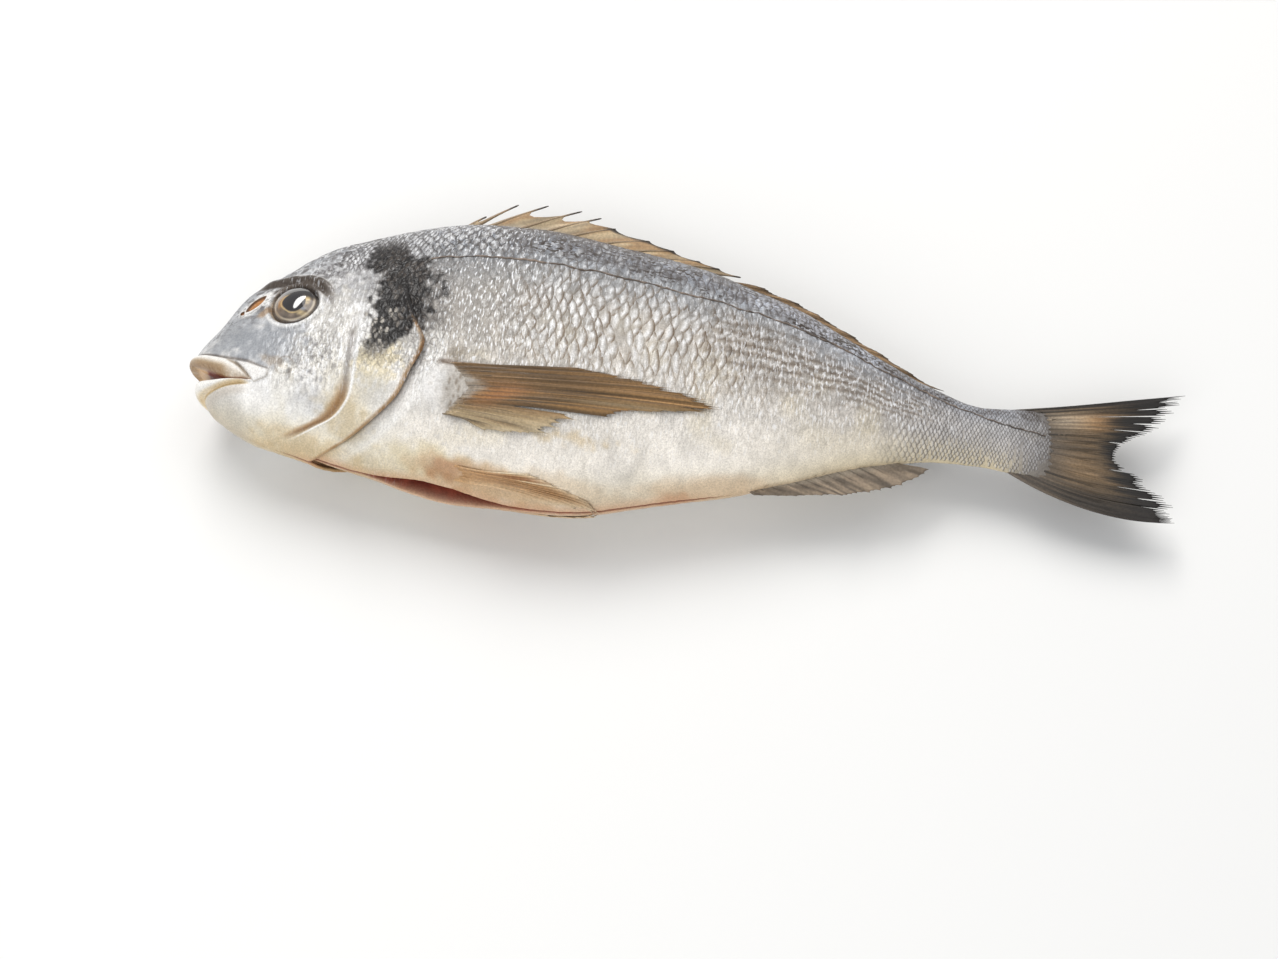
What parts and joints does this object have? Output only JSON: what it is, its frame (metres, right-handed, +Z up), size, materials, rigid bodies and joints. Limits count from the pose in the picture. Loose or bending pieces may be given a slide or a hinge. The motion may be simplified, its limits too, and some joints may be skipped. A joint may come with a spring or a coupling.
{
  "type": "whole raw sea bream",
  "caption": "Whole raw gilthead sea bream, gutted, with scales, fins and tail on, lying flat on its right flank.",
  "frame": {"origin": "on the surface that the fish rests on, below the middle of its box", "axes": "-X to the snout, +X to the tail, +Y to the back, -Y to the belly, +Z up out of the left flank"},
  "size_m": [0.3294, 0.1164, 0.0424],
  "materials": {
    "fish": "wet silver skin with fine scales"
  },
  "bodies": {
    "root": {"sea_bream": "fish"}
  },
  "joints": []
}
